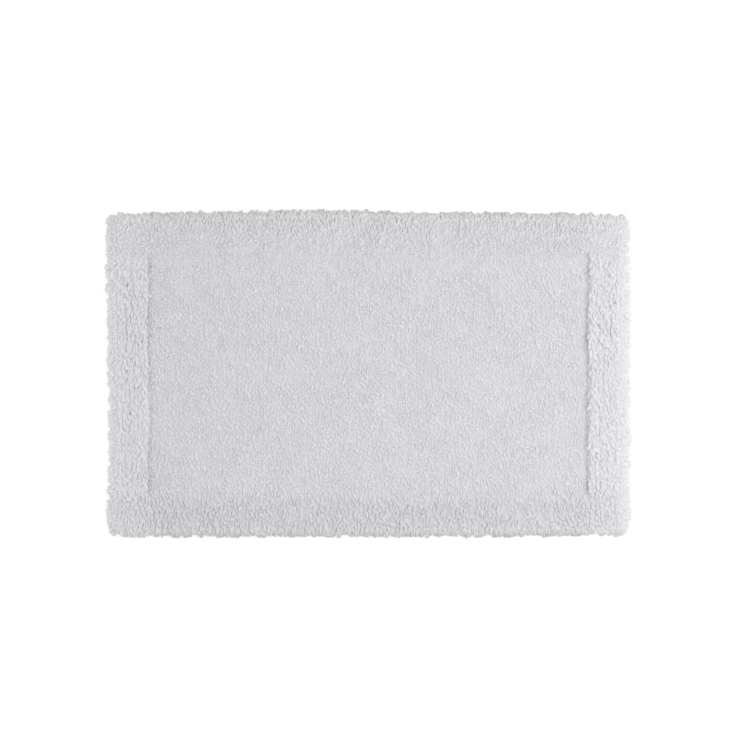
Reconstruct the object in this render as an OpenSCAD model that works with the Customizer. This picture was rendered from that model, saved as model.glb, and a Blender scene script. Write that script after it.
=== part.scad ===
// Tufted cotton bath mat, lying flat.
// Cut-pile tufts stand in a woven base cloth: a low field inside a taller border.
// The cloth is coated with latex underneath, and its four edges are hemmed with tape.
// The origin is on the floor under the mat's centre, +X runs along the long side, and +Z is up.

/* [Mat] */
// Length over the edge tufts
mat_length = 864; // [600:1:1200]
// Width over the edge tufts
mat_width = 533; // [400:1:800]
// Width of the taller border on all four sides
border_width = 70; // [45:1:110]
// Radius of the pile's corners, seen from above
corner_radius = 12; // [6:1:14]

/* [Pile] */
// Height of the field tufts above the base cloth
field_pile_height = 10.5; // [6:0.5:12]
// Height of the border tufts above the base cloth
border_pile_height = 16.5; // [16:0.5:24]
// How far the edge tufts stand out past the hemmed cloth
edge_splay = 8; // [6:0.5:12]
// Radius of the border's top outer edge
edge_round = 9; // [4:0.5:12]
// Radius of the border's top inner edge, at the step down to the field
step_round = 3; // [1:0.5:3.5]
// Gap between the floor and the lowest edge tufts
edge_lift = 0.5; // [0.3:0.1:1]

/* [Base] */
// Thickness of the woven base cloth
cloth_thickness = 1; // [0.6:0.1:1.5]
// Thickness of the latex backing and of the hem tape beside it
backing_thickness = 0.9; // [0.6:0.1:1.5]
// Width of the hem tape
tape_width = 20; // [14:1:30]

/* [Stitching] */
// Width of a row of hem stitches
thread_width = 0.8; // [0.4:0.1:1.2]
// Depth to which the stitches are pulled into the tape
thread_depth = 0.4; // [0.2:0.1:0.5]
// Distance from each edge of the tape to its row of stitches
row_inset = 3; // [2:0.5:5]

/* [Care label] */
// Length of the label, from the hem tape towards the middle of the mat
label_length = 50; // [30:1:80]
// Width of the label
label_width = 25; // [15:1:50]
// Thickness of the label
label_thickness = 0.3; // [0.2:0.05:0.5]
// Distance from each end of the label to its row of stitches
label_row_inset = 2.5; // [2:0.5:5]

/* [Hidden] */

$fn = 64;
past = 1; // how far a cutting shape runs past the surface that it cuts

cloth_length = mat_length - 2 * edge_splay;
cloth_width = mat_width - 2 * edge_splay;
field_length = mat_length - 2 * border_width;
field_width = mat_width - 2 * border_width;
backing_length = cloth_length - 2 * tape_width;
backing_width = cloth_width - 2 * tape_width;

cloth_bottom = backing_thickness;
cloth_top = cloth_bottom + cloth_thickness;
field_top = cloth_top + field_pile_height;
border_top = cloth_top + border_pile_height;

label_end = -backing_length / 2; // where the label meets the left hem tape
label_thread_depth = label_thickness / 2;

cloth_colour = [0.90, 0.88, 0.83];
latex_colour = [0.93, 0.92, 0.87];
tape_colour = [0.96, 0.96, 0.95];
thread_colour = [0.88, 0.88, 0.88];
pile_colour = [0.94, 0.94, 0.95];
label_colour = [0.99, 0.99, 0.99];

// A flat slab centred over the origin, between two heights
module slab(length, width, bottom, top) {
    translate([-length / 2, -width / 2, bottom])
        cube([length, width, top - bottom]);
}

// Moves a strip that lies along X to one edge of the cloth.
// side is -1 for the front or left edge and 1 for the back or right one;
// along_y is true for the left and right edges, where the strip is turned to lie along Y.
module at_edge(side, along_y) {
    if (along_y)
        translate([side * (cloth_length - tape_width) / 2, 0, 0]) rotate([0, 0, 90]) children();
    else
        translate([0, side * (cloth_width - tape_width) / 2, 0]) children();
}

// Two straight rows of stitches, flush with the underside of a tape of the given length
module hem_rows(length) {
    for (side = [-1, 1])
        translate([0, side * (tape_width / 2 - row_inset), 0])
            slab(length - 2 * row_inset, thread_width, 0, thread_depth);
}

// A straight length of tape along X, with a groove for each row of stitches
module grooved_tape(length) {
    difference() {
        slab(length, tape_width, 0, backing_thickness);
        hem_rows(length);
    }
}

module hem_tape(side, along_y) {
    color(tape_colour)
        at_edge(side, along_y)
            grooved_tape(along_y ? backing_width : cloth_length);
}

module hem_thread(side, along_y) {
    color(thread_colour)
        at_edge(side, along_y)
            hem_rows(along_y ? backing_width : cloth_length);
}

module base_cloth() {
    color(cloth_colour)
        slab(cloth_length, cloth_width, cloth_bottom, cloth_top);
}

// The film fills the space between the tapes, and gives way under the label
module latex_backing() {
    color(latex_colour)
        difference() {
            slab(backing_length, backing_width, 0, backing_thickness);
            label_blank();
        }
}

module label_blank() {
    translate([label_end, -label_width / 2, 0])
        cube([label_length, label_width, label_thickness]);
}

// One row of stitches across each end of the label
module label_rows() {
    for (distance = [label_row_inset, label_length - label_row_inset])
        translate([label_end + distance, 0, 0])
            slab(thread_width, label_width - 2 * label_row_inset, 0, label_thread_depth);
}

module care_label() {
    color(label_colour)
        difference() {
            label_blank();
            label_rows();
        }
}

module label_thread() {
    color(thread_colour)
        label_rows();
}

// A section with a flat bottom and two rounded upper corners
module crowned_section(span) {
    body_height = border_top - edge_lift;
    translate([-span / 2, edge_lift])
        square([span, body_height - edge_round]);
    translate([-span / 2 + edge_round, edge_lift])
        square([span - 2 * edge_round, body_height]);
    for (side = [-1, 1])
        translate([side * (span / 2 - edge_round), border_top - edge_round])
            circle(r = edge_round);
}

// The mat's outline from above, with rounded corners
module plan_outline() {
    square([mat_length - 2 * corner_radius, mat_width], center = true);
    square([mat_length, mat_width - 2 * corner_radius], center = true);
    for (side_x = [-1, 1], side_y = [-1, 1])
        translate([side_x * (mat_length / 2 - corner_radius), side_y * (mat_width / 2 - corner_radius)])
            circle(r = corner_radius);
}

// The whole pile as one block at the border's height, rounded over all its outer edges
module pile_block() {
    intersection() {
        linear_extrude(border_top) plan_outline();
        rotate([90, 0, 90]) linear_extrude(mat_length, center = true) crowned_section(mat_width);
        rotate([90, 0, 0]) linear_extrude(mat_width, center = true) crowned_section(mat_length);
    }
}

// The space over the field: straight walls, which flare into a rounded edge at the top
module field_window() {
    flare_bottom = border_top - step_round;
    slab(field_length, field_width, 0, border_top + past);
    difference() {
        slab(field_length + 2 * step_round, field_width + 2 * step_round, flare_bottom, border_top + past);
        for (side = [-1, 1]) {
            translate([0, side * (field_width / 2 + step_round), flare_bottom])
                rotate([0, 90, 0])
                    cylinder(r = step_round, h = field_length + 2 * step_round + past, center = true);
            translate([side * (field_length / 2 + step_round), 0, flare_bottom])
                rotate([90, 0, 0])
                    cylinder(r = step_round, h = field_width + 2 * step_round + past, center = true);
        }
    }
}

// The border on all four sides, hanging down over the edges of the cloth
module border_ring() {
    difference() {
        pile_block();
        slab(cloth_length, cloth_width, 0, cloth_top);
        field_window();
    }
}

// The front and back borders run the mat's full length
module border_pile_long(side) {
    color(pile_colour)
        intersection() {
            border_ring();
            translate([0, side * (field_width + border_width + past) / 2, 0])
                slab(mat_length + past, border_width + past, 0, border_top + past);
        }
}

// The left and right borders fit between the front and back ones
module border_pile_short(side) {
    color(pile_colour)
        intersection() {
            border_ring();
            translate([side * (field_length + border_width + past) / 2, 0, 0])
                slab(border_width + past, field_width, 0, border_top + past);
        }
}

module field_pile() {
    color(pile_colour)
        slab(field_length, field_width, cloth_top, field_top);
}

base_cloth();
latex_backing();
hem_tape(-1, false);  // hem_tape_front
hem_tape(1, false);  // hem_tape_back
hem_tape(-1, true);  // hem_tape_left
hem_tape(1, true);  // hem_tape_right
hem_thread(-1, false);  // hem_thread_front
hem_thread(1, false);  // hem_thread_back
hem_thread(-1, true);  // hem_thread_left
hem_thread(1, true);  // hem_thread_right
field_pile();
border_pile_long(-1);  // border_pile_front
border_pile_long(1);  // border_pile_back
border_pile_short(-1);  // border_pile_left
border_pile_short(1);  // border_pile_right
care_label();
label_thread();
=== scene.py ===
"""The looks of a tufted cotton bath mat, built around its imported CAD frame.

Every tuft is three short strands of yarn that turn round each other, and each strand is a closed mesh of
its own. The tufts stand in rows along Y, as the tufting machine sews them: short ones in the field, longer
ones in the border, and ones that splay over the rim. The packed fibre low down between them is one closed
body in each panel. The underside has the latex film over the tufting rows, the hem tapes with their
lockstitches, and a blank label. All lengths are in metres, in the frame of the CAD model.
"""

import math

import bpy
import numpy as np
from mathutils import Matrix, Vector


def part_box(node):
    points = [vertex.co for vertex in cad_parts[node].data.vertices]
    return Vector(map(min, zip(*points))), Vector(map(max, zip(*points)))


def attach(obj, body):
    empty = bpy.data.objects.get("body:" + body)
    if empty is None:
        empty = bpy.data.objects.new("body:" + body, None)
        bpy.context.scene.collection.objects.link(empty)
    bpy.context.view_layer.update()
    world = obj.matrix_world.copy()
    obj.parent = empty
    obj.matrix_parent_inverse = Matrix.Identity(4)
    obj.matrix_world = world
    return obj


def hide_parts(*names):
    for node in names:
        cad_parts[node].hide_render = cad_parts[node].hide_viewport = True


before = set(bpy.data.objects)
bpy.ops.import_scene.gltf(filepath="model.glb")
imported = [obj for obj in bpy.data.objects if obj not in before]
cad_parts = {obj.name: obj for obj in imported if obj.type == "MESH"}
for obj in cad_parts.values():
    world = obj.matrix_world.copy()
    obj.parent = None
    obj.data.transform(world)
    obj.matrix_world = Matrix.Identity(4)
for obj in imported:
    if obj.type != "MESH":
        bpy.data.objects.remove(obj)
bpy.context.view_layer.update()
MM = 0.001
FULL_TURN = 2 * math.pi

# ---------------------------------------------------------------- places that the CAD frame gives

cloth_low, cloth_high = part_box("base_cloth")
field_low, field_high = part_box("field_pile")
pile_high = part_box("border_pile_back")[1]
latex_low, latex_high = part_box("latex_backing")
label_low, label_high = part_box("care_label")
CLOTH_TOP = cloth_high.z
FIELD_PILE = field_high.z - CLOTH_TOP
BORDER_PILE = pile_high.z - CLOTH_TOP
FLOOR_GAP = 0.3 * MM        # the lowest that a drooping tuft hangs above the floor
SIDE_NAMES = ("front", "back", "left", "right")


# ---------------------------------------------------------------- smooth changes over the mat

def smooth_noise(x, y, cell, seed, stretch=1.0):
    """Values from -1 to 1 that change smoothly over about one cell, which may be stretched along Y."""
    size = 512
    table = np.random.default_rng(seed).uniform(-1, 1, (size, size))
    s, t = x / cell, y / (cell * stretch)
    column, row = np.floor(s).astype(int), np.floor(t).astype(int)
    s, t = s - column, t - row
    s, t = s * s * (3 - 2 * s), t * t * (3 - 2 * t)
    corner = [[table[(column + i) % size, (row + j) % size] for j in (0, 1)] for i in (0, 1)]
    low = corner[0][0] * (1 - s) + corner[1][0] * s
    high = corner[0][1] * (1 - s) + corner[1][1] * s
    return low * (1 - t) + high * t


def ramp(value, start, end):
    """0 before start and 1 after end, with a smooth change in between."""
    t = np.clip((value - start) / (end - start), 0, 1)
    return t * t * (3 - 2 * t)


def hump(value, middle, width):
    """1 at the middle, falling smoothly to 0 on both sides."""
    return np.exp(-((value - middle) / width) ** 2)


# The mat lies a little out of square. These are distances from the CAD model's outline.
BACK_IN = 3.0 * MM          # how far in the back edge lies
BACK_BOW = 4.5 * MM         # how far it bows out from there, left of its middle
BACK_CORNER_IN = 2.0 * MM   # how much further in its right end lies
FRONT_IN = 0.5 * MM         # how far in the front edge lies
FRONT_CORNER_IN = 1.4 * MM  # how much further in its right end lies
LEFT_BOW = 4.3 * MM         # how far the left edge bows in, in front of its middle


def laid(points):
    """The points as the mat really lies: its border is a little out of square, most at the very edge."""
    x, y = points[:, 0], points[:, 1]
    side = ramp(abs(x), field_high.x, cloth_high.x)
    end = ramp(abs(y), field_high.y, cloth_high.y)
    bow_middle, long_bow, short_bow = -100 * MM, 170 * MM, 190 * MM
    back_end = ramp(x, 340 * MM, 420 * MM)
    front_end = ramp(x, 180 * MM, 400 * MM)
    bow_back = BACK_BOW * hump(x, bow_middle, long_bow) - BACK_IN - BACK_CORNER_IN * back_end
    bow_front = FRONT_IN + FRONT_CORNER_IN * front_end
    bow_left = LEFT_BOW * hump(y, bow_middle, short_bow)
    moved = points.copy()
    moved[:, 0] += np.where(x < 0, bow_left, 0.0) * side
    moved[:, 1] += np.where(y > 0, bow_back, bow_front) * end
    return moved


# ---------------------------------------------------------------- how the pile stands

STEP_RUN = 9 * MM           # over how far the pile rises at the front and back steps, to each side of them
STEP_SLANT = 2.2 * MM       # the same at the left and right steps
STEP_OUT = 2.0 * MM         # how far outside the field those steps stand on average
STEP_WAVE = 1.6 * MM        # how far they wander from there
WAVE_LENGTH = 45 * MM       # over which length they do
STEP_GAP = 0.6 * MM         # beside those steps, where no tuft stands
CHANNEL_LEFT = 5.5 * MM     # how soon the channel in the field beside the left step becomes shallow
CHANNEL_RIGHT = 8.5 * MM    # the same beside the right step
CHANNEL_DEPTH = 0.33        # its depth at the step, as a share of the field's pile
CREASE_DEPTH = 0.6 * MM     # of the fine crease along the front and back steps
CREASE_WIDTH = 1.6 * MM
FURROW_DEPTH = 0.5 * MM     # how far the pile is lower where it parts, and higher between
LONG_FURROW = 4.5 * MM      # the width of the furrows in the left and right borders
SHORT_FURROW = 5 * MM       # the width of the shorter ones elsewhere
PIT_SPACING = 8 * MM        # between the places that may have a small opening in the pile
PIT_SHARE = 0.13            # how many of them have one
PIT_RADIUS = 2.3 * MM
PIT_DEPTH = 3.5 * MM        # how much lower the packed fibre lies there
SPLAY_REACH = 18 * MM       # how far in from the cloth's edge the pile splays outwards
RIM_LENGTH = 10.0 * MM      # the length of the tufts at the very edge
RIM_TILT = 0.8              # how far those tufts lean at their roots, in radians
RIM_BEND = 1.95             # how far they bend over from there to their tips

# How much painted light lightens and painted shade greys the tufts, in steps of tone, where chance alone
# gives -1 to 1.
RIM_TIP_PAINTED_SHADE = 16.0            # how much painted shade greys the tips at the front and back rims, where they curl down away from the light
RIM_PAINTED_LIGHT = 1.3             # how much painted light lightens the whole rim
SIDE_PAINTED_LIGHT = 1.3            # how much painted light lightens the left and right borders
FRONT_PAINTED_SHADE = 1.8           # how much painted shade greys the front border
BACK_PAINTED_SHADE = 1.5            # how much painted shade greys the back border


def from_step(x, y):
    """How far a place is from the wavy left or right step, with places in the border below zero."""
    return field_high.x + STEP_OUT - abs(x) - STEP_WAVE * smooth_noise(x, y, WAVE_LENGTH, 21)


def border_share(x, y):
    """1 where the pile is as tall as the border and 0 where it is as low as the field."""
    at_side = ramp(-from_step(x, y), -STEP_SLANT, STEP_SLANT)
    return np.maximum(at_side, ramp(abs(y), field_high.y - STEP_RUN, field_high.y + STEP_RUN))


def beside_field(y):
    """1 beside the field and 0 in front of it and behind it."""
    inside, outside = 4 * MM, 2 * MM
    return 1 - ramp(abs(y), field_high.y - inside, field_high.y + outside)


def channel(x, y):
    """1 at the foot of the left and right steps, where the field's pile is pressed down, 0 elsewhere."""
    away = from_step(x, y)
    width = np.where(x < 0, CHANNEL_LEFT, CHANNEL_RIGHT)
    return hump(np.maximum(away, 0), 0, width) * beside_field(y) * (away > -STEP_SLANT)


def furrows(x, y):
    """Where the pile parts along Y: -1 in a furrow, 1 on a ridge. They run long at the left and right."""
    long = smooth_noise(x, y, LONG_FURROW, 71, stretch=18)
    patch_size = 50 * MM
    strength = 0.5 + ramp(smooth_noise(x, y, patch_size, 75), 0.1, 0.7) * border_share(x, y)
    short = smooth_noise(x, y, SHORT_FURROW, 72, stretch=4) * strength
    near_step, near_corner = 8 * MM, 20 * MM
    sides = ramp(abs(x), field_high.x - near_step, field_high.x + near_step)
    sides = sides * (1 - ramp(abs(y), field_high.y - near_corner, field_high.y + near_corner))
    return short * (1 - sides) + long * sides


def thin(x, y):
    """1 in the patches of the left and right borders where the pile stands less dense, and 0 elsewhere."""
    patch_size = 40 * MM
    patch = ramp(smooth_noise(x, y, patch_size, 73), -0.2, 0.3)
    past_step = ramp(-from_step(x, y), 2 * MM, 10 * MM)
    short_of_rim = ramp(cloth_high.x - abs(x), 10 * MM, 20 * MM)
    return patch * past_step * short_of_rim


def nearest_seed(x, y, spacing, seed):
    """The way to the nearest of many scattered points, in shares of their spacing, and that point's luck.

    The luck is a random number from -1 to 1.
    """
    rng = np.random.default_rng(seed)
    column, row = np.floor(x / spacing).astype(int), np.floor(y / spacing).astype(int)
    size, margin = 256, 0.1
    shift = rng.uniform(margin, 1 - margin, (size, size, 2))
    luck = rng.uniform(-1, 1, (size, size))
    best = np.full(len(x), np.inf)
    found = np.zeros((len(x), 3))
    for i in (-1, 0, 1):
        for j in (-1, 0, 1):
            place = shift[(column + i) % size, (row + j) % size]
            away_x = (column + i + place[:, 0]) * spacing - x
            away_y = (row + j + place[:, 1]) * spacing - y
            far = away_x ** 2 + away_y ** 2
            nearer = far < best
            best = np.where(nearer, far, best)
            own = luck[(column + i) % size, (row + j) % size]
            found[nearer] = np.stack([away_x / spacing, away_y / spacing, own], 1)[nearer]
    return found.T


def pits(x, y):
    """1 in the small openings that the thin patches have here and there, and 0 outside them."""
    away_x, away_y, luck = nearest_seed(x, y, PIT_SPACING, 74)
    far = PIT_SPACING * np.hypot(away_x, away_y)
    is_pit = (luck > 1 - 2 * PIT_SHARE) & (thin(x, y) > 0.5)
    return (1 - ramp(far, 0.5 * PIT_RADIUS, PIT_RADIUS)) * is_pit * beside_field(y)


def pile_height(x, y):
    """How high the pile stands above the cloth."""
    height = FIELD_PILE + (BORDER_PILE - FIELD_PILE) * border_share(x, y)
    height = height * (1 - CHANNEL_DEPTH * channel(x, y)) + FURROW_DEPTH * furrows(x, y)
    return height - CREASE_DEPTH * hump(abs(y), field_high.y, CREASE_WIDTH) * (abs(x) < field_high.x)


def splay(x, y):
    """How the rim's pile splays: along X, along Y and in all, from 0 inside to 1 at the cloth's edge."""
    along_x = np.sign(x) * np.clip(1 - (cloth_high.x - abs(x)) / SPLAY_REACH, 0, 1) ** 2
    along_y = np.sign(y) * np.clip(1 - (cloth_high.y - abs(y)) / SPLAY_REACH, 0, 1) ** 2
    return along_x, along_y, np.minimum(np.hypot(along_x, along_y), 1)


def border_painted_light_and_shade(x, y):
    """Painted light and shade in the borders: painted shade greys the front and back, painted light lightens
    the left and right.
    """
    past_side, past_end = abs(x) - field_high.x, abs(y) - field_high.y
    in_front = ramp(past_end, -14 * MM, 4 * MM)
    in_back = ramp(past_end, 5 * MM, 40 * MM)
    at_end = np.where(y < 0, in_front, in_back)
    at_side = ramp(-from_step(x, y), 0, 4 * MM)
    corner = ramp(past_side, -20 * MM, 25 * MM)
    end_painted_shade = np.where(y < 0, FRONT_PAINTED_SHADE, BACK_PAINTED_SHADE)
    return SIDE_PAINTED_LIGHT * at_side * (1 - at_end) - end_painted_shade * at_end * (1 - corner)


def arc(length, tilt, bend, share):
    """How far out and up a strand reaches, that far along it, if it starts at a tilt and bends evenly."""
    bend = np.maximum(bend, 1e-3)
    end = tilt + bend * share
    return length * (np.cos(tilt) - np.cos(end)) / bend, length * (np.sin(end) - np.sin(tilt)) / bend


# ---------------------------------------------------------------- the tufts

ROW_GAUGE = 4.28 * MM       # between rows of tufts, along X
STITCH_PITCH = 4.5 * MM     # between tufts in a row, along Y
EDGE_INSET = 4.0 * MM       # from the cloth's edge to the first regular row
# How far in from the cloth's edge the extra rows stand.
EDGE_ROWS = [0.6 * MM, 1.7 * MM, 2.8 * MM, 4.4 * MM, 6.6 * MM, 9.2 * MM, 12.4 * MM]
EDGE_PITCH = 3.3 * MM       # between tufts in those rows
TUFT_RADIUS = 1.95 * MM
NAP = 1.15                  # how far the tufts inside the mat bend over, in radians
TURN_MIDDLE = field_high.y + 8 * MM     # where the nap turns from -Y to +Y
TURN_WIDTH = 30 * MM
TURN_GATHER = 6 * MM        # how far the roots are gathered towards that line, so that the pile covers it
NAP_IN_BORDER = 0.15        # how much further they do in the border, as a share
OVERHANG = 0.25             # how far the border leans over the left and right steps, in radians
SWIRL_X, SWIRL_Y = 0.036, 0.06  # how far the nap wanders in smooth waves, in radians
LOOSE_X, LOOSE_Y = 0.04, 0.10   # how far each tuft leans its own way, in radians
CLUMP_SPACING = 13 * MM     # between the points that tufts gather round, most of all in the border
LOCK_SPACING = 5.5 * MM     # between the points that the rim's tufts gather round
LOCK_SIDE, LOCK_END = 0.7, 1.3  # how strongly they do at the left and right, and at the front and back
LOCK_UNEVEN = 0.31          # how much the rim's locks differ in length, as a share
SUNK_SHARE = 0.08           # how many tufts stand low where the pile is thin
SUNK_BY = 0.5               # how much shorter those are, as a share
PIT_SUNK_BY = 0.6           # how much shorter the tufts in a pit are


def tuft_roots(rng):
    """The root of every tuft on the base cloth: row by row, then those of the close rows at the edges."""
    rows = np.arange(cloth_low.x + EDGE_INSET, cloth_high.x - EDGE_INSET, ROW_GAUGE)
    stitches = np.arange(cloth_low.y + EDGE_INSET, cloth_high.y - EDGE_INSET, STITCH_PITCH)
    x, y = np.meshgrid(rows, stitches, indexing="ij")
    y = y + (np.arange(len(rows)) % 2)[:, None] * STITCH_PITCH / 2
    x, y = x.ravel(), y.ravel()
    wander, row_jitter, stitch_jitter, wave_length = 0.15, 0.05, 0.18, 25 * MM
    wave = smooth_noise(x, y, wave_length, 11) + smooth_noise(x, y, ROW_GAUGE, 12, stretch=5)
    x = x + ROW_GAUGE * (wander * wave + row_jitter * rng.normal(0, 1, len(x)))
    y = y + STITCH_PITCH * stitch_jitter * rng.normal(0, 1, len(y))
    beyond = (y - TURN_MIDDLE) / TURN_WIDTH
    y = y - TURN_GATHER * beyond * np.exp((1 - beyond ** 2) / 2)
    in_gap = (from_step(x, y) > 0) & (from_step(x, y) < STEP_GAP) & (abs(y) < field_high.y)
    x, y = x[~in_gap], y[~in_gap]
    xs, ys = [x], [y]
    for inset in EDGE_ROWS:
        for side in (-1, 1):
            along = np.arange(cloth_low.x + inset, cloth_high.x - inset, EDGE_PITCH)
            xs.append(along)
            ys.append(np.full(len(along), side * (cloth_high.y - inset)))
            along = np.arange(cloth_low.y + inset, cloth_high.y - inset, EDGE_PITCH)
            xs.append(np.full(len(along), side * (cloth_high.x - inset)))
            ys.append(along)
    x, y = np.concatenate(xs), np.concatenate(ys)
    jitter = 0.5 * MM
    x = np.clip(x + rng.normal(0, jitter, len(x)), cloth_low.x, cloth_high.x)
    y = np.clip(y + rng.normal(0, jitter, len(y)), cloth_low.y, cloth_high.y)
    return x, y


def tuft_leans(x, y, rng):
    """How far every tuft bends over along X and along Y, in radians."""
    count = len(x)
    tall = border_share(x, y)
    splay_x, splay_y, rim = splay(x, y)
    clump_x, clump_y, _ = nearest_seed(x, y, CLUMP_SPACING, 31)
    lock_x, lock_y, _ = nearest_seed(x, y, LOCK_SPACING, 32)
    to_clump = (0.04 + 0.08 * tall) * (1 - rim)
    to_lock = LOCK_SIDE * abs(splay_x) ** 3 + LOCK_END * abs(splay_y) ** 3
    near = 1.5 * MM
    from_furrow = (0.08 + 0.10 * tall) * (furrows(x + near, y) - furrows(x - near, y))
    over_step = 3 * MM
    overhang = OVERHANG * hump(from_step(x, y), -over_step, over_step) * beside_field(y)
    turned = ramp(y, TURN_MIDDLE - TURN_WIDTH, TURN_MIDDLE + TURN_WIDTH)
    nap = NAP * (2 * turned - 1) * (1 + NAP_IN_BORDER * tall) * (1 - rim)

    lean_x = SWIRL_X * smooth_noise(x, y, 11 * MM, 41) + LOOSE_X * rng.normal(0, 1, count)
    lean_y = nap + SWIRL_Y * smooth_noise(x, y, 14 * MM, 42) + LOOSE_Y * rng.normal(0, 1, count)
    lean_x = lean_x + from_furrow + to_clump * clump_x + to_lock * lock_x - np.sign(x) * overhang
    lean_y = lean_y + to_clump * clump_y + to_lock * lock_y
    return lean_x + RIM_BEND * splay_x, lean_y + RIM_BEND * splay_y


def tuft_lengths(x, y, lean_x, lean_y, rng):
    """The length of every tuft. Its bent tip reaches the height of the pile there, give or take a little."""
    count = len(x)
    _, splay_y, rim = splay(x, y)
    _, _, lock_luck = nearest_seed(x, y, LOCK_SPACING, 32)
    bend = np.hypot(lean_x, lean_y)
    aim = 0.5 * pile_height(x, y) / np.maximum(bend, 1)
    tip_x, tip_y = x + lean_x * aim, y + lean_y * aim
    sunk = SUNK_BY * (rng.random(count) < SUNK_SHARE * thin(x, y))
    sunk = np.maximum(sunk, PIT_SUNK_BY * pits(tip_x, tip_y))
    least_bend, most_bend = 0.1, 1.4
    arc_angle = np.clip(bend, least_bend, most_bend)
    inside = pile_height(tip_x, tip_y) * arc_angle / np.sin(arc_angle) * (1 - sunk)
    length = inside * (1 - rim) + RIM_LENGTH * rim
    of_its_own = (0.03 + 0.02 * rim) * rng.normal(0, 1, count)
    of_its_lock = (LOCK_UNEVEN * rim + 0.05 * abs(splay_y)) * lock_luck
    of_the_place = 0.03 * smooth_noise(x, y, 30 * MM, 51)
    return length * (1 + of_its_own + of_its_lock + of_the_place)


def lay_tufts():
    """The root, length, lean, radius, roll, drift and tones of every tuft, as arrays; the tones hold painted
    light and shade.
    """
    rng = np.random.default_rng(7)
    x, y = tuft_roots(rng)
    count = len(x)
    splay_x, splay_y, rim = splay(x, y)
    lean_x, lean_y = tuft_leans(x, y, rng)
    length = tuft_lengths(x, y, lean_x, lean_y, rng)
    most_bend = 1.05 * RIM_BEND
    thickness = 1 + 0.12 * border_share(x, y) + 0.08 * rim
    return {
        "x": x, "y": y,
        "length": length,
        "azimuth": np.arctan2(lean_y, lean_x),
        "tilt": RIM_TILT * rim ** 2,
        "bend": np.minimum(np.hypot(lean_x, lean_y), most_bend),
        "radius": TUFT_RADIUS * (1 + 0.06 * rng.normal(0, 1, count)) * thickness,
        "roll": rng.uniform(0, FULL_TURN, count),
        "drift": 0.10 * rng.normal(0, 1, count),
        # chance, plus painted light and shade in the borders and painted light over the whole rim
        "tone": rng.uniform(-1, 1, count) + border_painted_light_and_shade(x, y) + RIM_PAINTED_LIGHT * np.sqrt(rim),
        # painted shade on the tips of the front and back rims
        "tip_painted_shade": -RIM_TIP_PAINTED_SHADE * splay_y ** 2 * (1 - abs(splay_x)),
    }


# ---------------------------------------------------------------- meshes

def mesh_from_arrays(name, points, face_sizes, corners):
    """A smooth-shaded mesh object from flat arrays."""
    mesh = bpy.data.meshes.new(name)
    mesh.vertices.add(len(points))
    mesh.vertices.foreach_set("co", laid(points).astype(np.float32).ravel())
    mesh.loops.add(len(corners))
    mesh.loops.foreach_set("vertex_index", corners.astype(np.int32))
    mesh.polygons.add(len(face_sizes))
    starts = np.concatenate([[0], np.cumsum(face_sizes)[:-1]])
    mesh.polygons.foreach_set("loop_start", starts.astype(np.int32))
    mesh.update(calc_edges=True)
    mesh.validate()
    mesh.shade_smooth()
    piece = bpy.data.objects.new(name, mesh)
    bpy.context.scene.collection.objects.link(piece)
    return piece


def add_uv(piece, name, values):
    """A UV layer with the given values, corner by corner."""
    layer = piece.data.uv_layers.new(name=name)
    layer.uv.foreach_set("vector", values.astype(np.float32).ravel())


def tube_faces(along, sides):
    """The faces of one closed tube with rings at those shares of its length, and two end points last.

    Gives corner numbers, and places (around, along) on its skin from 0 to 1.
    """
    rings = len(along)
    first, last = rings * sides, (rings - 1) * sides
    cap = 0.05
    height = cap + (1 - 2 * cap) * (np.array(along) - along[0]) / (along[-1] - along[0])
    faces, places = [], []
    for k in range(rings - 1):
        for j in range(sides):
            after = (j + 1) % sides
            ring, next_ring = k * sides, (k + 1) * sides
            faces.append([ring + j, ring + after, next_ring + after, next_ring + j])
            left, right = j / sides, (j + 1) / sides
            low, high = height[k], height[k + 1]
            places.append([(left, low), (right, low), (right, high), (left, high)])
    for j in range(sides):
        after = (j + 1) % sides
        left, middle, right = j / sides, (j + 0.5) / sides, (j + 1) / sides
        faces.append([after, j, first])
        places.append([(right, height[0]), (left, height[0]), (middle, 0.0)])
        faces.append([last + j, last + after, first + 1])
        places.append([(left, height[-1]), (right, height[-1]), (middle, 1.0)])
    return faces, places


def tubes(name, along, spine, across, beside, radius, ends, tone):
    """One object of many closed tubes, each with its own cell in the bake layout.

    spine, across and beside are arrays of (tube, ring, xyz), radius is one of (tube, ring, side), ends of
    (tube, 2, xyz) and tone of (tube, ring).
    """
    count, rings, sides = radius.shape
    turn = np.arange(sides) * FULL_TURN / sides
    ring = (spine[:, :, None, :] + (radius * np.cos(turn))[..., None] * across[:, :, None, :]
            + (radius * np.sin(turn))[..., None] * beside[:, :, None, :])
    points = np.concatenate([ring.reshape(count, rings * sides, 3), ends], 1)
    per_tube = points.shape[1]
    points[..., 2] = np.maximum(points[..., 2], 0)

    faces, places = tube_faces(along, sides)
    corner_of = np.array([corner for face in faces for corner in face])
    place_of = np.array([place for face in places for place in face])
    sizes = np.tile([len(face) for face in faces], count)
    corners = (corner_of[None, :] + per_tube * np.arange(count)[:, None]).ravel()
    piece = mesh_from_arrays(name, points.reshape(-1, 3), sizes, corners)

    cells = math.ceil(math.sqrt(count))
    cell = np.stack([np.arange(count) % cells, np.arange(count) // cells], 1)[:, None, :]
    margin = 0.08
    add_uv(piece, "OFBake", (cell + margin + (1 - 2 * margin) * place_of[None, :, :]) / cells)
    add_uv(piece, "yarn", np.tile(place_of, (count, 1)))
    attribute = piece.data.attributes.new("tone", "FLOAT", "POINT")
    point_tone = np.concatenate([np.repeat(tone, sides, axis=1), tone[:, [0, -1]]], 1)
    attribute.data.foreach_set("value", point_tone.astype(np.float32).ravel())
    return piece


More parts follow.
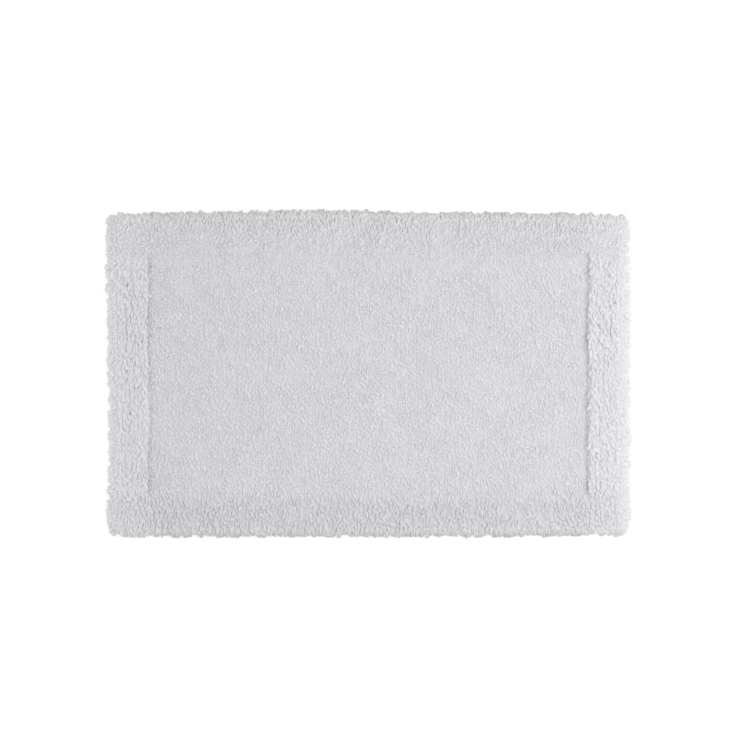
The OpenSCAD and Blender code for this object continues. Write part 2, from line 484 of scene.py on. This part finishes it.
def solid_between(name, xs, ys, upper, lower):
    """A closed mesh between two surfaces over a grid. Each surface is a function from x and y to points."""
    nx, ny = len(xs), len(ys)
    x, y = (grid.ravel() for grid in np.meshgrid(xs, ys, indexing="ij"))
    number = np.arange(nx * ny).reshape(nx, ny)
    cell = np.stack([number[:-1, :-1], number[1:, :-1], number[1:, 1:], number[:-1, 1:]], -1)
    cell = cell.reshape(-1, 4)
    edge = np.concatenate([number[:-1, 0], number[-1, :-1], number[:0:-1, -1], number[0, :0:-1]])
    after = np.roll(edge, -1)
    wall = np.stack([edge + nx * ny, after + nx * ny, after, edge], 1)
    faces = np.concatenate([cell, cell[:, ::-1] + nx * ny, wall])
    points = np.concatenate([upper(x, y), lower(x, y)])
    piece = mesh_from_arrays(name, points, np.full(len(faces), 4), faces.ravel())
    sharp_from = math.radians(50)
    piece.data.set_sharp_from_angle(angle=sharp_from)

    # The bake layout: the upper side in the lower half, the lower side above it, the walls in a thin band.
    column, row = np.divmod(np.arange(nx * ny), ny)
    half, band = 0.47, 0.02
    flat = np.stack([column / (nx - 1), half * row / (ny - 1)], 1)
    under = flat[cell[:, ::-1]] + [0, half + band]
    start = np.arange(len(edge)) / len(edge)
    end = start + 1 / len(edge)
    low, high = np.full(len(edge), 1 - band), np.ones(len(edge))
    walls = np.stack([start, low, end, low, end, high, start, high], 1)
    add_uv(piece, "OFBake", np.concatenate([flat[cell].ravel(), under.ravel(), walls.ravel()]))
    return piece


def level(height):
    """A surface at an even height, or at one that a function of x and y gives."""
    def surface(x, y):
        return np.stack([x, y, height(x, y) if callable(height) else np.full(len(x), height)], 1)
    return surface


def steps(low, high, spacing, *also):
    """Evenly spaced grid lines from low to high, with a few more at given places."""
    even = np.linspace(low, high, max(2, round((high - low) / spacing) + 1))
    return np.unique(np.concatenate([even, [place for place in also if low < place < high]]))


# ---------------------------------------------------------------- the pieces of the pile

STRANDS = 3                 # strands of yarn in one tuft, which turn round each other
STRAND_SIDES = 5
# Where the rings of a strand are, from its root to its tip, and how wide each is, in its radii.
ALONG = np.array([0.0, 0.45, 0.85, 1.0])
WIDTH = np.array([0.85, 1.03, 1.0, 0.62])
STRAND_SHARE = 0.68         # a strand's radius, as a share of the tuft's
SPREAD = 0.52               # how far a strand's middle is from the tuft's, as a share of the tuft's radius
TWIST = 1.3                 # how far the strands turn round each other over one tuft, in radians
END_BULGE = 0.30            # how far both ends of a strand stand out past its rings, in its radii
UNEVEN_LENGTH = 0.05        # how far strands differ in length, as a share
UNEVEN_WIDTH = 0.08         # how far they differ in width


def tuft_piece(name, tufts):
    """One object that holds all the given tufts, strand by strand."""
    t = {key: np.repeat(values, STRANDS) for key, values in tufts.items()}
    count = len(t["x"])
    rng = np.random.default_rng(count)
    length = t["length"] * (1 + UNEVEN_LENGTH * rng.normal(0, 1, count))
    strand_radius = t["radius"] * STRAND_SHARE * (1 + UNEVEN_WIDTH * rng.normal(0, 1, count))
    tilt, bend = t["tilt"][:, None], t["bend"][:, None]
    out, up = arc(length[:, None], tilt, bend, ALONG)
    angle = tilt + bend * ALONG
    flat = np.zeros(count)
    ahead = np.stack([np.cos(t["azimuth"]), np.sin(t["azimuth"]), flat], 1)[:, None, :]
    aside = np.stack([-np.sin(t["azimuth"]), np.cos(t["azimuth"]), flat], 1)[:, None, :]
    upward = np.array([0.0, 0.0, 1.0])
    tangent = np.sin(angle)[..., None] * ahead + np.cos(angle)[..., None] * upward
    across = np.cos(angle)[..., None] * ahead - np.sin(angle)[..., None] * upward
    beside = np.broadcast_to(aside, across.shape)

    turn = (t["roll"] + np.arange(count) % STRANDS * FULL_TURN / STRANDS)[:, None] + TWIST * ALONG
    apart = SPREAD * t["radius"][:, None]
    drift = (t["drift"] * t["length"])[:, None] * ALONG ** 2
    root = np.stack([t["x"], t["y"], np.full(count, CLOTH_TOP)], 1)
    spine = root[:, None, :] + out[..., None] * ahead + up[..., None] * upward
    spine = spine + (apart * np.cos(turn))[..., None] * across
    spine = spine + (apart * np.sin(turn) + drift)[..., None] * beside
    radius = strand_radius[:, None] * WIDTH
    spine[..., 2] = np.maximum(spine[..., 2], FLOOR_GAP + radius)
    bulge = END_BULGE * strand_radius[:, None]
    tip = spine[:, -1] + tangent[:, -1] * bulge
    tip[:, 2] = np.maximum(tip[:, 2], FLOOR_GAP)
    foot = spine[:, 0] - tangent[:, 0] * bulge
    rings = np.repeat(radius[..., None], STRAND_SIDES, axis=2)
    # the tips of the front and back rims get painted shade, growing towards the tip
    tone = t["tone"][:, None] + t["tip_painted_shade"][:, None] * ALONG ** 3
    return tubes(name, ALONG, spine, across, beside, rings, np.stack([foot, tip], 1), tone)


BED_DROP = 1.35 * MM        # how far below the tips the packed fibre ends in the field
BED_END_DROP = 0.25 * MM    # how much more in the front and back borders
BED_STEP_DROP = 0.8 * MM    # how much more on the front step, where the nap leans up the slope
BED_TURN_DROP = 0.5 * MM    # how much more where the nap turns, so that the upright tufts stand apart
BED_THIN_DROP = 0.45 * MM   # how much more where the pile is thin
BED_GRAIN = 0.25 * MM       # how uneven its top is
BED_RIM_SHARE = 0.80        # how far along the tufts it reaches at the cloth's edge
BED_BULGE = 0.8 * MM        # how much further it reaches half way out over the rim
BED_END_BULGE = 1.4 * MM    # how much more at the front and back, where the nap leans outwards


def bed_upper(x, y):
    """The upper side of the packed fibre, which follows the tufts over the rim."""
    splay_x, splay_y, rim = splay(x, y)
    past_line = 4 * MM
    on_step = hump(y, -field_high.y - past_line, 6 * MM)
    at_turn = hump(y, TURN_MIDDLE + past_line, 20 * MM)
    inside = pile_height(x, y) - BED_DROP - BED_END_DROP * (1 - beside_field(y))
    inside = inside - BED_STEP_DROP * on_step - BED_TURN_DROP * at_turn
    inside = inside - BED_THIN_DROP * thin(x, y) - PIT_DEPTH * pits(x, y)
    total = np.maximum(np.hypot(splay_x, splay_y), 1e-9)
    bulge = 4 * rim * (1 - rim) * (BED_BULGE + BED_END_BULGE * abs(splay_y) / total)
    length = inside * (1 - rim) + BED_RIM_SHARE * RIM_LENGTH * rim + bulge
    out, up = arc(length, RIM_TILT * rim ** 2, RIM_BEND * rim, 1.0)
    top = np.maximum(CLOTH_TOP + up + BED_GRAIN * smooth_noise(x, y, 7 * MM, 61), 2 * FLOOR_GAP)
    return np.stack([x + out * splay_x / total, y + out * splay_y / total, top], 1)


def bed_piece(name, low, high, spacing):
    """The packed fibre of one panel of the pile, with more grid lines at the left and right steps."""
    step_lines = [side * (field_high.x + gap) for side in (-1, 1) for gap in (-2 * MM, -1 * MM, 1 * MM)]
    xs = steps(max(low.x, cloth_low.x), min(high.x, cloth_high.x), spacing, *step_lines)
    ys = steps(max(low.y, cloth_low.y), min(high.y, cloth_high.y), spacing)
    return solid_between(name, xs, ys, bed_upper, level(CLOTH_TOP))


# ---------------------------------------------------------------- the pieces underneath

RIDGE = 0.25 * MM           # how far the latex stands out under each row of tufts
TWILL_RIB = 3.0 * MM        # from one rib of the hem tape's herringbone to the next
TWILL_RELIEF = 0.07 * MM
TWILL_DRAWN = 0.3 * MM      # how far the stitches draw the tape in
THREAD_ROW = 0.8 * MM       # the width of one row of stitches in the CAD model
HEM_STITCH = 3.5 * MM       # from one lockstitch to the next in a hem
LABEL_STITCH = 2.5 * MM     # the same in the label
THREAD_RADIUS = 0.32 * MM
LABEL_THREAD_RADIUS = 0.13 * MM


def cloth_piece():
    """The woven base cloth, a little uneven where the tufts go through it."""
    spacing, uneven, wave_length = 6 * MM, 0.06 * MM, 14 * MM

    def face(height, seed):
        return level(lambda x, y: height + uneven * smooth_noise(x, y, wave_length, seed))
    upper, lower = face(cloth_high.z - uneven, 81), face(cloth_low.z + uneven, 82)
    xs, ys = steps(cloth_low.x, cloth_high.x, spacing), steps(cloth_low.y, cloth_high.y, spacing)
    return solid_between("woven_cloth", xs, ys, upper, lower)


def latex_piece():
    """The latex film, ridged along the rows of tufts, and let in for the label."""
    gap, blob = 0.2 * MM, 9 * MM

    def underside(x, y):
        ridges = 0.5 - 0.5 * np.cos(FULL_TURN * x / ROW_GAUGE)
        uneven = 0.5 + 0.5 * smooth_noise(x, y, blob, 83)
        let_in = (x < label_high.x + gap / 2) & (abs(y) < label_high.y + gap / 2)
        return np.where(let_in, label_high.z, RIDGE * (0.7 * ridges + 0.3 * uneven))
    label_ends = [label_high.x, label_high.x + gap]
    label_sides = [side * (label_high.y + beyond) for side in (-1, 1) for beyond in (0, gap)]
    xs = steps(latex_low.x, latex_high.x, ROW_GAUGE / 4, *label_ends)
    ys = steps(latex_low.y, latex_high.y, 14 * MM, *label_sides)
    return solid_between("latex_film", xs, ys, level(latex_high.z), level(underside))


def thread_rows(side):
    """Where the two rows of hem stitches run on one tape, across the tape, and the ends of the rows."""
    low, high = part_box(f"hem_thread_{side}")
    across, along = (0, 1) if side in ("left", "right") else (1, 0)
    half = THREAD_ROW / 2
    return (low[across] + half, high[across] - half), (low[along], high[along])


def tape_piece(side):
    """One hem tape: herringbone twill, drawn in where each row of stitches runs."""
    low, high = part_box(f"hem_tape_{side}")
    rows, _ = thread_rows(side)
    upright = side in ("left", "right")
    middle = (rows[0] + rows[1]) / 2
    fine, coarse = 0.9 * MM, 1.1 * MM

    def underside(x, y):
        across, along = (x, y) if upright else (y, x)
        ribs = 0.5 + 0.5 * np.sin(FULL_TURN * (along + abs(across - middle)) / TWILL_RIB)
        drawn = sum(hump(across, row, THREAD_ROW) for row in rows)
        return TWILL_RELIEF * ribs + TWILL_DRAWN * drawn
    near_rows = [row + shift for row in rows for shift in (-0.5 * MM, 0, 0.5 * MM)]
    xs = steps(low.x, high.x, *([fine, *near_rows] if upright else [coarse]))
    ys = steps(low.y, high.y, *([coarse] if upright else [fine, *near_rows]))
    return solid_between(f"twill_tape_{side}", xs, ys, level(high.z), level(underside))


def stitch_piece(name, rows, pitch, radius, upright):
    """Lockstitches in straight rows: each a short bent thread whose ends go up into the cloth.

    rows is a list of (place across, start along, end along).
    """
    along_share = np.array([-1.0, -0.6, 0.0, 0.6, 1.0])
    width = np.array([0.75, 1.0, 1.05, 1.0, 0.75])
    centres = []
    for across, start, end in rows:
        count = int((end - start) / pitch)
        spare = (end - start - count * pitch) / 2
        centres += [(across, start + spare + (k + 0.5) * pitch) for k in range(count)]
    across, along = np.array(centres).T
    count = len(across)
    rng = np.random.default_rng(count)
    slant = 0.04 * rng.normal(0, 1, count)
    half_stitch, clearance = 0.42 * pitch, 0.15 * radius
    along_at = along[:, None] + half_stitch * along_share
    across_at = across[:, None] + half_stitch * along_share * slant[:, None]
    height = np.broadcast_to(radius + clearance + radius * abs(along_share) ** 3, along_at.shape)
    x, y = (across_at, along_at) if upright else (along_at, across_at)
    spine = np.stack([x, y, height], 2)
    vertical = np.broadcast_to(np.array([0.0, 0.0, 1.0]), spine.shape)
    level_way = np.broadcast_to(np.array([1.0, 0.0, 0.0] if upright else [0.0, -1.0, 0.0]), spine.shape)
    sides, end_rise = 6, 0.6 * radius
    thick = radius * width[None, :, None] * np.ones((count, 1, sides))
    ends = np.stack([spine[:, 0], spine[:, -1]], 1) + [0, 0, end_rise]
    tone = np.broadcast_to(rng.uniform(-1, 1, count)[:, None], along_at.shape)
    return tubes(name, along_share, spine, level_way, vertical, thick, ends, tone)


def label_piece():
    """The blank satin label, with a slightly thicker selvage along its two long edges."""
    selvage, rise, thicker, sunk, spacing = 1.2 * MM, 0.05 * MM, 0.03 * MM, 0.01 * MM, 1 * MM

    def underside(_, y):
        return rise - thicker * (label_high.y - abs(y) < selvage)
    edges = [side * (label_high.y - selvage * share) for side in (-1, 1) for share in (0.95, 1.05)]
    xs = steps(label_low.x, label_high.x, spacing)
    ys = steps(label_low.y, label_high.y, spacing, *edges)
    return solid_between("satin_label", xs, ys, level(label_high.z - sunk), level(underside))


# ---------------------------------------------------------------- materials

def new_material(name):
    """A material with its node tree and its shader."""
    material = bpy.data.materials.new(name)
    material.use_nodes = True
    tree = material.node_tree
    return material, tree, tree.nodes["Principled BSDF"]


def add_node(tree, kind, inputs=(), **settings):
    """A node with its settings and inputs. An input is a value, or a socket to link."""
    node = tree.nodes.new(kind)
    for key, value in settings.items():
        setattr(node, key, value)
    for key, value in dict(inputs).items():
        if isinstance(value, bpy.types.NodeSocket):
            tree.links.new(value, node.inputs[key])
        else:
            node.inputs[key].default_value = value
    return node


def colour_ramp(tree, factor, stops):
    """A colour that follows the factor through the given stops."""
    node = add_node(tree, "ShaderNodeValToRGB", {"Fac": factor})
    elements = node.color_ramp.elements
    while len(elements) < len(stops):
        elements.new(0.5)
    for element, (place, colour) in zip(elements, stops):
        element.position = place
        element.color = (*colour, 1)
    return node.outputs["Color"]


def object_place(tree):
    """Places in the mat's own frame, in metres."""
    return add_node(tree, "ShaderNodeTexCoord").outputs["Object"]


def noise(tree, place, scale, detail=2.0):
    """Noise from 0 to 1 with that many cells to the metre."""
    node = add_node(tree, "ShaderNodeTexNoise", {"Vector": place, "Scale": scale, "Detail": detail})
    return node.outputs["Fac"]


def ripple(tree, place, way, length):
    """A sine ripple of that wavelength along the given way."""
    waves = [part * FULL_TURN / length for part in way]
    phase = add_node(tree, "ShaderNodeVectorMath", {0: place, 1: waves}, operation="DOT_PRODUCT")
    return add_node(tree, "ShaderNodeMath", {0: phase.outputs["Value"]}, operation="SINE").outputs[0]


def mixed(tree, base, *parts):
    """A base value plus parts of other values. Each part is a value and its share."""
    for value, share in parts:
        inputs = {0: value, 1: share, 2: base}
        base = add_node(tree, "ShaderNodeMath", inputs, operation="MULTIPLY_ADD").outputs[0]
    return base


def shade(tree, skin, colour, amount):
    """The colour, made a little lighter and darker by an amount round 1."""
    scaled = add_node(tree, "ShaderNodeVectorMath", {0: colour, "Scale": amount}, operation="SCALE")
    tree.links.new(scaled.outputs["Vector"], skin.inputs["Base Color"])


def bump(tree, skin, height, distance, strength=0.6):
    """Relief that is finer than the mesh."""
    node = add_node(tree, "ShaderNodeBump", {"Height": height, "Distance": distance, "Strength": strength})
    tree.links.new(node.outputs["Normal"], skin.inputs["Normal"])


def rough_between(tree, skin, factor, least, most):
    """Roughness that follows the factor."""
    node = add_node(tree, "ShaderNodeMapRange", {"Value": factor, "To Min": least, "To Max": most})
    tree.links.new(node.outputs["Result"], skin.inputs["Roughness"])


def twisted(tree, plies, twist):
    """A yarn's own layout, and the grooves between its plies, which wind round it."""
    yarn = add_node(tree, "ShaderNodeUVMap", uv_map="yarn").outputs["UV"]
    return yarn, ripple(tree, yarn, (plies, twist / FULL_TURN, 0), 1.0)


def pile_material():
    """White cotton yarn with twisted fibres: painted shade makes it greyer towards the root, and it is a
    little different from tuft to tuft, with painted light and shade in that tone too.
    """
    material, tree, skin = new_material("cotton_pile")
    tone = add_node(tree, "ShaderNodeAttribute", attribute_name="tone").outputs["Fac"]
    place = object_place(tree)
    fibres_round, fibre_twist = 6, 5.0
    yarn, strands = twisted(tree, fibres_round, fibre_twist)
    up = add_node(tree, "ShaderNodeSeparateXYZ", {"Vector": yarn}).outputs["Y"]
    # painted shade: the yarn is greyer towards its root, deep in the pile
    root_colour_in_painted_shade, middle_colour_in_painted_shade, tip_colour = (0.82, 0.822, 0.83), (0.86, 0.862, 0.869), (0.88, 0.882, 0.889)
    colour = colour_ramp(tree, up, [(0.0, root_colour_in_painted_shade), (0.55, middle_colour_in_painted_shade), (1.0, tip_colour)])
    fibre = noise(tree, place, scale=1500, detail=3.0)
    patch = noise(tree, place, scale=14)
    # the tone attribute brings chance and the painted light and shade of the borders and rim
    shade(tree, skin, colour, mixed(tree, 0.955, (patch, 0.03), (tone, 0.03), (fibre, 0.06)))
    rough_between(tree, skin, fibre, least=0.85, most=1.0)
    bump(tree, skin, mixed(tree, fibre, (strands, 0.35)), distance=0.15 * MM)
    skin.inputs["Specular IOR Level"].default_value = 0.2
    skin.inputs["Sheen Weight"].default_value = 0.06
    return material


def bed_material():
    """The same cotton as packed fibre: strand beside strand along Y, with finer fibres in them, and painted
    shade in the grooves between the strands.
    """
    material, tree, skin = new_material("cotton_fibre")
    place = object_place(tree)
    longer_in_y = {0: place, 1: (1.0, 0.4, 1.0)}
    stretched = add_node(tree, "ShaderNodeVectorMath", longer_in_y, operation="MULTIPLY").outputs["Vector"]
    groove = add_node(tree, "ShaderNodeTexVoronoi", {"Vector": stretched, "Scale": 620}).outputs["Distance"]
    fibre = noise(tree, place, scale=900, detail=4.0)
    # painted shade darkens the grooves between the packed strands
    shade(tree, skin, (0.83, 0.8325, 0.84), mixed(tree, 1.02, (fibre, 0.10), (groove, -0.16)))
    rough_between(tree, skin, fibre, least=0.9, most=1.0)
    bump(tree, skin, mixed(tree, 0.0, (fibre, 0.5), (groove, -1.0)), distance=1.2 * MM, strength=0.9)
    skin.inputs["Specular IOR Level"].default_value = 0.1
    return material


def woven_material(name, colour, way, yarn_width, roughness, strength):
    """A woven cloth: warp and weft ripples that cross, with fibre noise. way is the warp's direction."""
    material, tree, skin = new_material(name)
    place = object_place(tree)
    warp = ripple(tree, place, way, yarn_width)
    weft = ripple(tree, place, (-way[1], way[0], 0), yarn_width)
    weave = mixed(tree, 0.0, (warp, weft))
    fibre = noise(tree, place, scale=1800, detail=3.0)
    shade(tree, skin, colour, mixed(tree, 0.95, (fibre, 0.10), (weave, 0.04)))
    rough_between(tree, skin, fibre, least=roughness - 0.08, most=roughness + 0.06)
    bump(tree, skin, mixed(tree, weave, (fibre, 0.5)), distance=0.12 * MM, strength=strength)
    return material


def latex_material():
    """Cream latex: smooth and faintly glossy, with a few duller patches and fine pores."""
    material, tree, skin = new_material("latex")
    place = object_place(tree)
    patch = noise(tree, place, scale=60, detail=3.0)
    pores = noise(tree, place, scale=1200)
    shade(tree, skin, (0.84, 0.81, 0.73), mixed(tree, 0.95, (patch, 0.10)))
    rough_between(tree, skin, patch, least=0.38, most=0.62)
    bump(tree, skin, mixed(tree, patch, (pores, 0.3)), distance=0.10 * MM, strength=0.5)
    return material


def thread_material():
    """Polyester sewing thread, two plies twisted together."""
    material, tree, skin = new_material("sewing_thread")
    tone = add_node(tree, "ShaderNodeAttribute", attribute_name="tone").outputs["Fac"]
    plies_in_thread, thread_twist = 2, 9.0
    _, plies = twisted(tree, plies_in_thread, thread_twist)
    shade(tree, skin, (0.78, 0.78, 0.78), mixed(tree, 1.0, (plies, 0.03), (tone, 0.03)))
    rough_between(tree, skin, plies, least=0.42, most=0.55)
    bump(tree, skin, plies, distance=0.06 * MM)
    skin.inputs["Sheen Weight"].default_value = 0.15
    return material


# ---------------------------------------------------------------- putting the pieces in place

def finish_piece(piece, nodes, material):
    """Gives a piece its material and the body it rides on, and hides the CAD nodes that it stands for."""
    piece.data.materials.append(material)
    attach(piece, "root")
    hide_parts(*nodes)
    return piece


def chosen(tufts, mask):
    """Only the tufts that the mask picks."""
    return {key: values[mask] for key, values in tufts.items()}


def part_of(along, reach, parts):
    """Which of so many equal parts from -reach to reach each place is in, counting from 0."""
    return np.clip(((along + reach) / (2 * reach) * parts).astype(int), 0, parts - 1)


def make_pile():
    """The tufts and the packed fibre. The field's and the panels' tufts are parted into smaller pieces."""
    tufts = lay_tufts()
    cotton = pile_material()
    x, y = tufts["x"], tufts["y"]
    in_field = (abs(x) < field_high.x) & (abs(y) < field_high.y)
    columns, rows = 4, 3
    column = part_of(x, field_high.x, columns)
    row = part_of(y, field_high.y, rows)
    for i in range(columns):
        for j in range(rows):
            part = chosen(tufts, in_field & (column == i) & (row == j))
            piece = tuft_piece(f"field_tufts_{i + 1}_{j + 1}", part)
            finish_piece(piece, ["field_pile"], cotton)
    long_side = abs(y) >= field_high.y
    panels = {
        "front": (long_side & (y < 0), x, cloth_high.x, 5),
        "back": (long_side & (y > 0), x, cloth_high.x, 5),
        "left": (~long_side & (x <= -field_high.x), y, field_high.y, 3),
        "right": (~long_side & (x >= field_high.x), y, field_high.y, 3),
    }
    for side, (in_panel, along, reach, parts) in panels.items():
        number = part_of(along, reach, parts)
        for i in range(parts):
            piece = tuft_piece(f"border_tufts_{side}_{i + 1}", chosen(tufts, in_panel & (number == i)))
            finish_piece(piece, [f"border_pile_{side}"], cotton)
    fibre = bed_material()
    field_spacing, border_spacing = 3.0 * MM, 1.8 * MM
    piece = bed_piece("field_fibre", field_low, field_high, field_spacing)
    finish_piece(piece, ["field_pile"], fibre)
    for side in SIDE_NAMES:
        node = f"border_pile_{side}"
        piece = bed_piece(f"border_fibre_{side}", *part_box(node), border_spacing)
        finish_piece(piece, [node], fibre)


def make_underside():
    """The cloth, film, tapes, label and stitches."""
    cream, off_white, white = (0.80, 0.78, 0.72), (0.86, 0.86, 0.85), (0.92, 0.92, 0.92)
    straight, slanting = (1, 0, 0), (math.sqrt(0.5), math.sqrt(0.5), 0)
    canvas = woven_material("canvas", cream, straight, 1.5 * MM, roughness=0.85, strength=0.7)
    twill = woven_material("hem_twill", off_white, slanting, 0.9 * MM, roughness=0.8, strength=0.6)
    satin = woven_material("label_satin", white, straight, 0.45 * MM, roughness=0.38, strength=0.3)
    thread = thread_material()
    cloth = finish_piece(cloth_piece(), ["base_cloth"], canvas)
    film = finish_piece(latex_piece(), ["latex_backing"], latex_material())
    for side in SIDE_NAMES:
        node = f"hem_tape_{side}"
        tape = finish_piece(tape_piece(side), [node], twill)
        rows, (start, end) = thread_rows(side)
        upright = side in ("left", "right")
        lines = [(row, start, end) for row in rows]
        stitches = stitch_piece(f"hem_stitches_{side}", lines, HEM_STITCH, THREAD_RADIUS, upright)
        finish_piece(stitches, [f"hem_thread_{side}"], thread)
        low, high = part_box(node)
    label = finish_piece(label_piece(), ["care_label"], satin)
    low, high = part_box("label_thread")
    half = THREAD_ROW / 2
    lines = [(place, low.y, high.y) for place in (low.x + half, high.x - half)]
    stitches = stitch_piece("label_stitches", lines, LABEL_STITCH, LABEL_THREAD_RADIUS, True)
    finish_piece(stitches, ["label_thread"], thread)


# ---------------------------------------------------------------- stage, light and camera

def make_stage():
    """White paper just below the mat, wide enough to fill every view."""
    size, below = 40.0, 0.2 * MM
    bpy.ops.mesh.primitive_plane_add(size=size, location=(0, 0, -below))
    floor = bpy.context.object
    floor.name = "floor"
    material, _, skin = new_material("floor_paper")
    skin.inputs["Base Color"].default_value = (0.9, 0.9, 0.9, 1)
    skin.inputs["Roughness"].default_value = 0.9
    skin.inputs["Emission Color"].default_value = (1, 1, 1, 1)
    skin.inputs["Emission Strength"].default_value = 0.30
    floor.data.materials.append(material)


def make_lights():
    """Even white light from all round, and a soft lamp from the right that shows the pile's relief."""
    world = bpy.data.worlds.new("studio")
    bpy.context.scene.world = world
    world.use_nodes = True
    background = world.node_tree.nodes["Background"]
    background.inputs["Color"].default_value = (0.987, 0.987, 1.0, 1)
    background.inputs["Strength"].default_value = 0.775
    key = bpy.data.objects.new("key_light", bpy.data.lights.new("key_light", "AREA"))
    key.data.shape = "RECTANGLE"
    key.data.size, key.data.size_y = 1.2, 1.2
    key.data.energy = 7.5
    key.location = (1.1, 0.0, 1.4)
    aim = Vector((0, 0, 0)) - key.location
    key.rotation_euler = aim.to_track_quat("-Z", "Y").to_euler()
    bpy.context.scene.collection.objects.link(key)


def make_camera():
    """Straight down from far above through a long lens, aimed a little to the right of the mat's middle."""
    lens, sensor, view_width = 85.0, 36.0, 1.2377
    aim_x, aim_y = 11.8 * MM, -2.4 * MM
    camera = bpy.data.objects.new("camera", bpy.data.cameras.new("camera"))
    camera.data.lens = lens
    camera.data.sensor_width = sensor
    camera.location = (aim_x, aim_y, pile_high.z + view_width * lens / sensor)
    bpy.context.scene.collection.objects.link(camera)
    bpy.context.scene.camera = camera


make_pile()
make_underside()
make_stage()
make_lights()
make_camera()
bpy.context.scene.view_settings.view_transform = "Standard"
